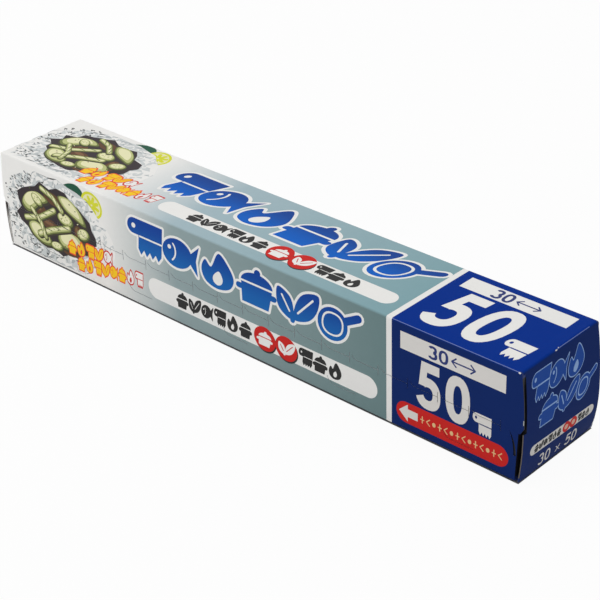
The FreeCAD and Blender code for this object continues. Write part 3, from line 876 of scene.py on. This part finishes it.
class Graph:
    """The nodes of a material or of the world."""

    def __init__(self, tree):
        self.nodes, self.links = tree.nodes, tree.links

    def feed(self, socket, value):
        """Link another node's output to a socket, or set the socket's own value."""
        if isinstance(value, bpy.types.NodeSocket):
            self.links.new(value, socket)
        else:
            socket.default_value = (*value, 1) if socket.type == "RGBA" else value

    def add(self, kind, inputs=(), **settings):
        """A node with its settings, and its inputs by number or name."""
        node = self.nodes.new("ShaderNode" + kind)
        for key, value in settings.items():
            setattr(node, key, value)
        for key, value in dict(inputs).items():
            self.feed(node.inputs[key], value)
        return node

    def math(self, operation, *values):
        """The result of one operation on numbers."""
        return self.add("Math", enumerate(values), operation=operation).outputs[0]

    def scaled(self, vector, factor):
        """A vector or colour made longer or lighter by a factor."""
        return self.add("VectorMath", {0: vector, "Scale": factor}, operation="SCALE").outputs["Vector"]

    def spread(self, value, low, high, start=0.0, finish=1.0, curve="LINEAR"):
        """A number carried over from one range to another."""
        inputs = {"Value": value, "From Min": low, "From Max": high, "To Min": start, "To Max": finish}
        return self.add("MapRange", inputs, interpolation_type=curve).outputs["Result"]

    def mix(self, share, under, over):
        """A colour laid over another by a share."""
        return self.add("Mix", {0: share, 6: under, 7: over}, data_type="RGBA").outputs[2]

    def noise(self, spot, scale, detail, roughness=0.5):
        """Even noise by the place on the object."""
        inputs = {"Vector": spot, "Scale": scale, "Detail": detail, "Roughness": roughness}
        return self.add("TexNoise", inputs).outputs["Fac"]


def shader(name):
    """A new material, its graph, its main shader and the place on the object."""
    material = bpy.data.materials.new(name)
    material.use_nodes = True
    graph = Graph(material.node_tree)
    return material, graph, graph.nodes["Principled BSDF"], graph.add("TexCoord").outputs["Object"]


def coat(graph, principled, spot, colour, patch_scale, unevenness, gloss):
    """The unevenness, grain and sheen of coated board, printed or bare."""
    patches = graph.noise(spot, patch_scale, 4.0, 0.6)
    mottled = graph.scaled(colour, graph.spread(patches, 0.0, 1.0, 1 - unevenness, 1 + unevenness))
    fine = graph.noise(spot, 900.0, 3.0, 0.55)
    height = graph.math("MULTIPLY_ADD", graph.noise(spot, 38.0, 2.0), 3.0, fine)
    bump = graph.add("Bump", {"Height": height, "Strength": 0.25, "Distance": GRAIN_DEPTH})
    graph.feed(principled.inputs["Base Color"], mottled)
    graph.feed(principled.inputs["Normal"], bump.outputs["Normal"])
    graph.feed(principled.inputs["Roughness"], 0.5)
    graph.feed(principled.inputs["Specular IOR Level"], gloss)


def ink_material(name, colour, gloss=0.15, fade=None):
    """Ink on coated board; a fade to a second colour runs along one axis between two places."""
    material, graph, principled, spot = shader(name)
    if fade:
        second, axis, start, end = fade
        place_on_axis = graph.add("SeparateXYZ", {0: spot}).outputs[axis]
        share = graph.spread(place_on_axis, start * MM, end * MM, curve="SMOOTHSTEP")
        colour = graph.mix(share, colour, second)
    coat(graph, principled, spot, colour, 420.0, 0.03, gloss)
    return material


def grey_field_material():
    """The grey field: it comes out of the white board and darkens to the right; on the front it is darker, as
    painted shade.
    """
    material, graph, principled, spot = shader("ink_field_grey")
    x, _, z = graph.add("SeparateXYZ", {0: spot}).outputs
    share = graph.spread(x, (FADE_START - LENGTH / 2) * MM, (STRIPE_LEFT - LENGTH / 2) * MM)
    tones = []
    for start, end in (FRONT_GREY_PAINTED_SHADE, TOP_GREY_PAINTED_LIGHT):
        tone = graph.add("ValToRGB", {0: share})
        stops = tone.color_ramp.elements
        stops[0].color = (*BOARD_WHITE, 1)
        stops[1].color = (*end, 1)
        stops.new((FADE_END - FADE_START) / (STRIPE_LEFT - FADE_START)).color = (*start, 1)
        tones.append(tone.outputs[0])
    # Over the crease the front's grey turns to the top's lighter grey, as painted light.
    on_top = graph.spread(z, (HEIGHT - CREASE) * MM, HEIGHT * MM)
    coat(graph, principled, spot, graph.mix(on_top, *tones), 420.0, 0.03, 0.15)
    return material


def board_material():
    """White coated board: painted shade in the end gaps, the tab's cut and on the grey-brown cut edges, toned
    in the cuts and at the foot.
    """
    material, graph, principled, spot = shader("board_coated_white")
    x, y, z = graph.add("SeparateXYZ", {0: graph.scaled(spot, 1 / MM)}).outputs
    normal = graph.add("NewGeometry").outputs["True Normal"]
    nx, ny, nz = graph.add("SeparateXYZ", {0: normal}).outputs
    along = graph.math("ADD", x, LENGTH / 2)
    reach, side = graph.math("ABSOLUTE", x), graph.math("ABSOLUTE", y)
    front = -DEPTH / 2

    def above(value, limit):
        return graph.math("GREATER_THAN", value, limit)

    def below(value, limit):
        return graph.math("LESS_THAN", value, limit)

    def both(first, *others):
        for other in others:
            first = graph.math("MULTIPLY", first, other)
        return first

    def either(first, *others):
        for other in others:
            first = graph.math("MAXIMUM", first, other)
        return first

    clear_of_foot, clear_of_top = above(z, FOOT_BAND), below(z, HEIGHT - TOP_BAND)
    near_top, near_end = above(z, HEIGHT - TOP_BAND), LENGTH / 2 - END_BAND
    facing_side = above(graph.math("ABSOLUTE", ny), 0.5)
    facing_out = above(graph.math("MULTIPLY", nx, graph.math("SIGN", x)), 0.9)
    off_the_wing = either(above(y, front + BOARD + 0.05), below(z, TEAR_LEVEL))
    panel_face = both(facing_out, above(reach, LENGTH / 2 + 0.1), off_the_wing)
    sleeve_face = both(facing_side, above(side, DEPTH / 2 - FACE_SLACK))
    underside = both(below(nz, -0.5), below(z, FOOT_BAND))
    outside = either(panel_face, sleeve_face, underside, near_top)
    in_gap = both(above(reach, near_end), graph.math("SUBTRACT", 1.0, outside))
    # The end panel's cut edges: raw board, darkened as painted shade.
    panel_edge = both(facing_side, above(side, DEPTH / 2 - END_INSET - FACE_SLACK),
                      below(side, DEPTH / 2 - FACE_SLACK), above(reach, LENGTH / 2 - 0.5), clear_of_foot)
    in_cut = both(above(y, front + 0.03), below(y, front + CUT_DEPTH + 0.1),
                  clear_of_foot, clear_of_top, below(reach, LENGTH / 2 - 0.4))
    tab_start = LENGTH - TAB_REACH - CUT_WIDTH
    # In the left end's gap the board is white low down and turns to painted shade towards the top.
    left_gap_painted_shade = graph.mix(graph.spread(z, GAP_LOW, GAP_HIGH, curve="SMOOTHSTEP"), GAP_LIT, GAP_SHADE)
    over_red = below(z, RED_TOP)
    foot = both(below(y, front + FOOT_DEPTH), below(z, FLAP_RISE + 0.2), below(reach, LENGTH / 2 + 0.1))
    foot_fade = graph.spread(along, FADE_START, STRIPE_LEFT, curve="SMOOTHSTEP")
    foot_tone = graph.mix(foot_fade, BOARD_WHITE, FRONT_GREY_PAINTED_SHADE[1])

    # Over the board: near-black painted shade in the end gaps and the tab's cut, a painted shade ramp in the
    # left gap, raw edges darkened as painted shade, and the sides' darker blue with its painted shade at the
    # end's top and foot and along the foot under the blue.
    tones = [(in_cut, CUT_FLOOR), (both(in_cut, above(along, STRIPE_RIGHT)), CUT_IN_BLUE),
             (both(in_cut, below(along, FADE_START)), CUT_IN_PICTURE),
             (either(in_gap, both(in_cut, above(along, tab_start))), GAP_PAINTED_SHADE),
             (both(in_gap, below(x, 0.0)), left_gap_painted_shade), (panel_edge, RAW_BOARD_PAINTED_SHADE),
             (both(above(x, near_end), either(near_top, below(z, TOP_BAND))), BLUE_SIDE_PAINTED_SHADE)]
    for left, right in WHITE_CROSSED:
        tones.append((both(in_cut, above(z, RED_TOP), above(along, left), below(along, right)), CUT_IN_WHITE))
    tones += [(both(in_cut, over_red, above(along, STRIPE_RIGHT + 2.5), below(along, tab_start)), CUT_IN_RED),
              (both(foot, below(along, STRIPE_LEFT)), foot_tone),
              (both(foot, above(along, STRIPE_RIGHT)), BLUE_SIDE_PAINTED_SHADE)]
    colour = BOARD_WHITE
    for share, tone in tones:
        colour = graph.mix(share, colour, tone)
    coat(graph, principled, spot, colour, 260.0, 0.02, 0.2)
    return material


GRAIN_DEPTH = 0.00002
FOOT_BAND = 1.5
TOP_BAND = 2.5
END_BAND = 2.2
FACE_SLACK = 0.15
FOOT_DEPTH = 1.8
# The heights where the left gap's painted shade starts and where it is full.
GAP_LOW = 12.0
GAP_HIGH = 23.0

# In the cuts: over the white marks, by where those begin and end along the carton, and over the red capsule
WHITE_CROSSED = ((269.3, 273.5), (275.7, 279.8), (284.0, 288.1), (289.2, 298.8))
RED_TOP = 14.5

BOARD_WHITE = (0.84, 0.832, 0.808)
# Raw board on cut edges, darkened as painted shade.
RAW_BOARD_PAINTED_SHADE = (0.12, 0.1, 0.085)
CUT_FLOOR = (0.5, 0.53, 0.55)
CUT_IN_BLUE = (0.045, 0.08, 0.24)
CUT_IN_WHITE = (0.5, 0.49, 0.47)
CUT_IN_RED = (0.42, 0.09, 0.08)
CUT_IN_PICTURE = (0.22, 0.22, 0.22)
# Near-black painted shade in the end gaps and the tab's cut.
GAP_PAINTED_SHADE = (0.012, 0.011, 0.012)
# In the left gap: board white below, painted shade above.
GAP_LIT = (0.84, 0.83, 0.81)
GAP_SHADE = (0.05, 0.045, 0.04)
# The grey field's colours at its left and right: darker on the front, lighter on the top, as painted light
# and shade.
FRONT_GREY_PAINTED_SHADE = ((0.282, 0.364, 0.374), (0.142, 0.226, 0.231))
TOP_GREY_PAINTED_LIGHT = ((0.36, 0.474, 0.52), (0.205, 0.357, 0.393))
# The blue field: lighter on the top and darker on the front, back and end, as painted light and shade.
BLUE_TOP_PAINTED_LIGHT = (0.002, 0.0305, 0.253)
BLUE_SIDE_PAINTED_SHADE = (0.0072, 0.0242, 0.131)

# The fades of the inks: the second colour, the axis, and where the fade starts and ends on it
# The blue field turns to its lighter top blue over the top crease, as painted light.
BLUE_PAINTED_LIGHT_FADE = (BLUE_TOP_PAINTED_LIGHT, 2, HEIGHT - CREASE, HEIGHT)
TITLE_TOP_FADE = ((0.012, 0.058, 0.28), 1, -4, 18)
TITLE_FRONT_FADE = ((0.008, 0.055, 0.31), 2, 28, 46)

INKS = {
    "field_grey": grey_field_material(),
    "field_blue": ink_material("ink_field_blue", BLUE_SIDE_PAINTED_SHADE, 0.02, BLUE_PAINTED_LIGHT_FADE),
    # The title's top, front and end copies are one print in different blues, lighter on the top and darker on
    # the end, as painted light and shade; the fade within each is print.
    "print_title_top": ink_material("ink_title_top", (0.007, 0.122, 0.54), 0.05, TITLE_TOP_FADE),
    "print_title_front": ink_material("ink_title_front", (0.012, 0.13, 0.43), 0.05, TITLE_FRONT_FADE),
    "print_title_end": ink_material("ink_title_end", (0.012, 0.068, 0.34), 0.05),
}
# The shaded white is white print and worn bare board, greyed as painted shade.
PLAIN_INKS = {
    "pale_blue": (0.27, 0.43, 0.74), "worn": (0.15, 0.2, 0.43), "shaded_white": (0.715, 0.695, 0.665),
    "navy": (0.02, 0.035, 0.16), "black": (0.015, 0.015, 0.015), "red": (0.58, 0.018, 0.015),
    "pink": (0.75, 0.42, 0.32), "straw": (0.76, 0.5, 0.24), "yellow": (0.93, 0.57, 0.008),
    "orange": (0.82, 0.085, 0.024), "lemon": (0.66, 0.68, 0.03), "cream": (0.8, 0.78, 0.48),
    "pale_green": (0.5, 0.53, 0.22), "olive": (0.15, 0.18, 0.045), "leaf": (0.004, 0.075, 0.04),
    "leaf_mid": (0.09, 0.13, 0.025), "brown": (0.102, 0.045, 0.017), "rust": (0.2, 0.1, 0.045),
    "shadow": (0.04, 0.035, 0.018), "pan_dark": (0.026, 0.017, 0.021), "foil_light": (0.6, 0.63, 0.63),
    "foil_mid": (0.42, 0.45, 0.46), "foil_dark": (0.22, 0.24, 0.245), "fleck": (0.06, 0.065, 0.065),
}
for ink, colour in PLAIN_INKS.items():
    INKS[f"print_{ink}"] = ink_material(f"ink_{ink}", colour, 0.08 if ink == "red" else 0.15)

for node_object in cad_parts.values():
    for material_slot in node_object.material_slots:
        material_slot.material = board_material()

sleeve_plates = plates(*sleeve_layout(), fold_sleeve)
end_plates = plates(*end_layout(), fold_end)
for ink, material in INKS.items():
    for made, suffix in ((sleeve_plates, ""), (end_plates, "_end")):
        if ink in made:
            piece = mesh_piece(f"{ink}{suffix}", made[ink])
            piece.data.materials.append(material)


# The room: a pale floor and backdrop that show white, with a faint shadow and a painted contact shadow under
# the carton

FLOOR_GLOW = 0.94
FLOOR_WHITE = (0.8, 0.8, 0.8)
FLOOR_PAINTED_SHADOW = (0.16, 0.16, 0.17)
FLOOR_REACH = 6.0
FLOOR_LEVEL = -0.0002
ROOM_LIGHT = 0.48


def seen_directly(graph):
    """One for camera, mirror and glass rays, nothing for the light on the carton."""
    rays = graph.add("LightPath").outputs
    mirrored = graph.math("MAXIMUM", rays["Is Camera Ray"], rays["Is Glossy Ray"])
    return graph.math("MAXIMUM", mirrored, rays["Is Transmission Ray"])


def floor_material():
    """A pale matt floor that glows to the camera, so its shadow is faint, with a painted contact shadow under
    the carton.
    """
    material, graph, principled, spot = shader("floor_white")
    x, y, _ = graph.add("SeparateXYZ", {0: spot}).outputs
    past_end = graph.math("GREATER_THAN", graph.math("ABSOLUTE", x), (LENGTH / 2 + 0.3) * MM)
    past_side = graph.math("GREATER_THAN", graph.math("ABSOLUTE", y), (DEPTH / 2 - 0.1) * MM)
    beside = graph.math("MAXIMUM", past_end, past_side)
    # Under the carton the floor is dark, a painted contact shadow.
    graph.feed(principled.inputs["Base Color"], graph.mix(beside, FLOOR_PAINTED_SHADOW, FLOOR_WHITE))
    graph.feed(principled.inputs["Roughness"], 0.9)
    share = graph.math("MULTIPLY", seen_directly(graph), graph.math("MULTIPLY", beside, FLOOR_GLOW))
    glow = graph.add("Emission", {"Color": (1, 1, 1), "Strength": 1.0})
    lit = graph.add("MixShader", {0: share, 1: principled.outputs[0], 2: glow.outputs[0]})
    graph.feed(graph.nodes["Material Output"].inputs["Surface"], lit.outputs[0])
    return material


floor_mesh = bpy.data.meshes.new("floor")
floor_corners = [(x * FLOOR_REACH, y * FLOOR_REACH, FLOOR_LEVEL)
                 for x, y in ((-1, -1), (1, -1), (1, 1), (-1, 1))]
floor_mesh.from_pydata(floor_corners, [], [(0, 1, 2, 3)])
floor = bpy.data.objects.new("floor", floor_mesh)
bpy.context.scene.collection.objects.link(floor)
floor.data.materials.append(floor_material())

world = bpy.data.worlds.new("studio")
bpy.context.scene.world = world
world.use_nodes = True
background = world.node_tree.nodes["Background"]
studio = Graph(world.node_tree)
studio.feed(background.inputs["Strength"], studio.spread(seen_directly(studio), 0.0, 1.0, ROOM_LIGHT, 1.0))
studio.feed(background.inputs["Color"], (1, 1, 1))


def area_light(name, location, target, size, power):
    """A soft square lamp aimed at a point."""
    light = bpy.data.lights.new(name, "AREA")
    light.size = size
    light.energy = power
    lamp = bpy.data.objects.new(name, light)
    lamp.location = location
    lamp.rotation_euler = (Vector(target) - Vector(location)).to_track_quat("-Z", "Y").to_euler()
    bpy.context.scene.collection.objects.link(lamp)


area_light("lamp_top", (-0.1, 0.2, 1.5), (0, 0, 0), 1.2, 9.2)
area_light("lamp_front", (-0.55, -0.85, 0.45), (-0.1, 0, 0.02), 0.6, 3.4)

# The camera of the photograph: a long lens, from the right of the front and above

CAMERA_TARGET = Vector((0.01778, 0.0, 0.02042))
CAMERA_AZIMUTH = 43.56
CAMERA_ELEVATION = 30.0
CAMERA_ROLL = -1.88
CAMERA_DISTANCE = 0.7398
CAMERA_LENS = 100.02

azimuth, elevation, roll = (math.radians(a) for a in (CAMERA_AZIMUTH, CAMERA_ELEVATION, CAMERA_ROLL))
forward = Vector((-math.sin(azimuth) * math.cos(elevation), math.cos(azimuth) * math.cos(elevation),
                  -math.sin(elevation)))
level_right = Vector((math.cos(azimuth), math.sin(azimuth), 0))
level_up = level_right.cross(forward)
right = math.cos(roll) * level_right + math.sin(roll) * level_up
up = math.cos(roll) * level_up - math.sin(roll) * level_right
camera_data = bpy.data.cameras.new("camera")
camera_data.lens = CAMERA_LENS
camera_data.sensor_width = 36.0
camera_data.clip_start = 0.01
camera = bpy.data.objects.new("camera", camera_data)
turn = Matrix((right, up, -forward)).transposed().to_4x4()
camera.matrix_world = Matrix.Translation(CAMERA_TARGET - forward * CAMERA_DISTANCE) @ turn
bpy.context.scene.collection.objects.link(camera)
bpy.context.scene.camera = camera

bpy.context.scene.view_settings.view_transform = "Standard"
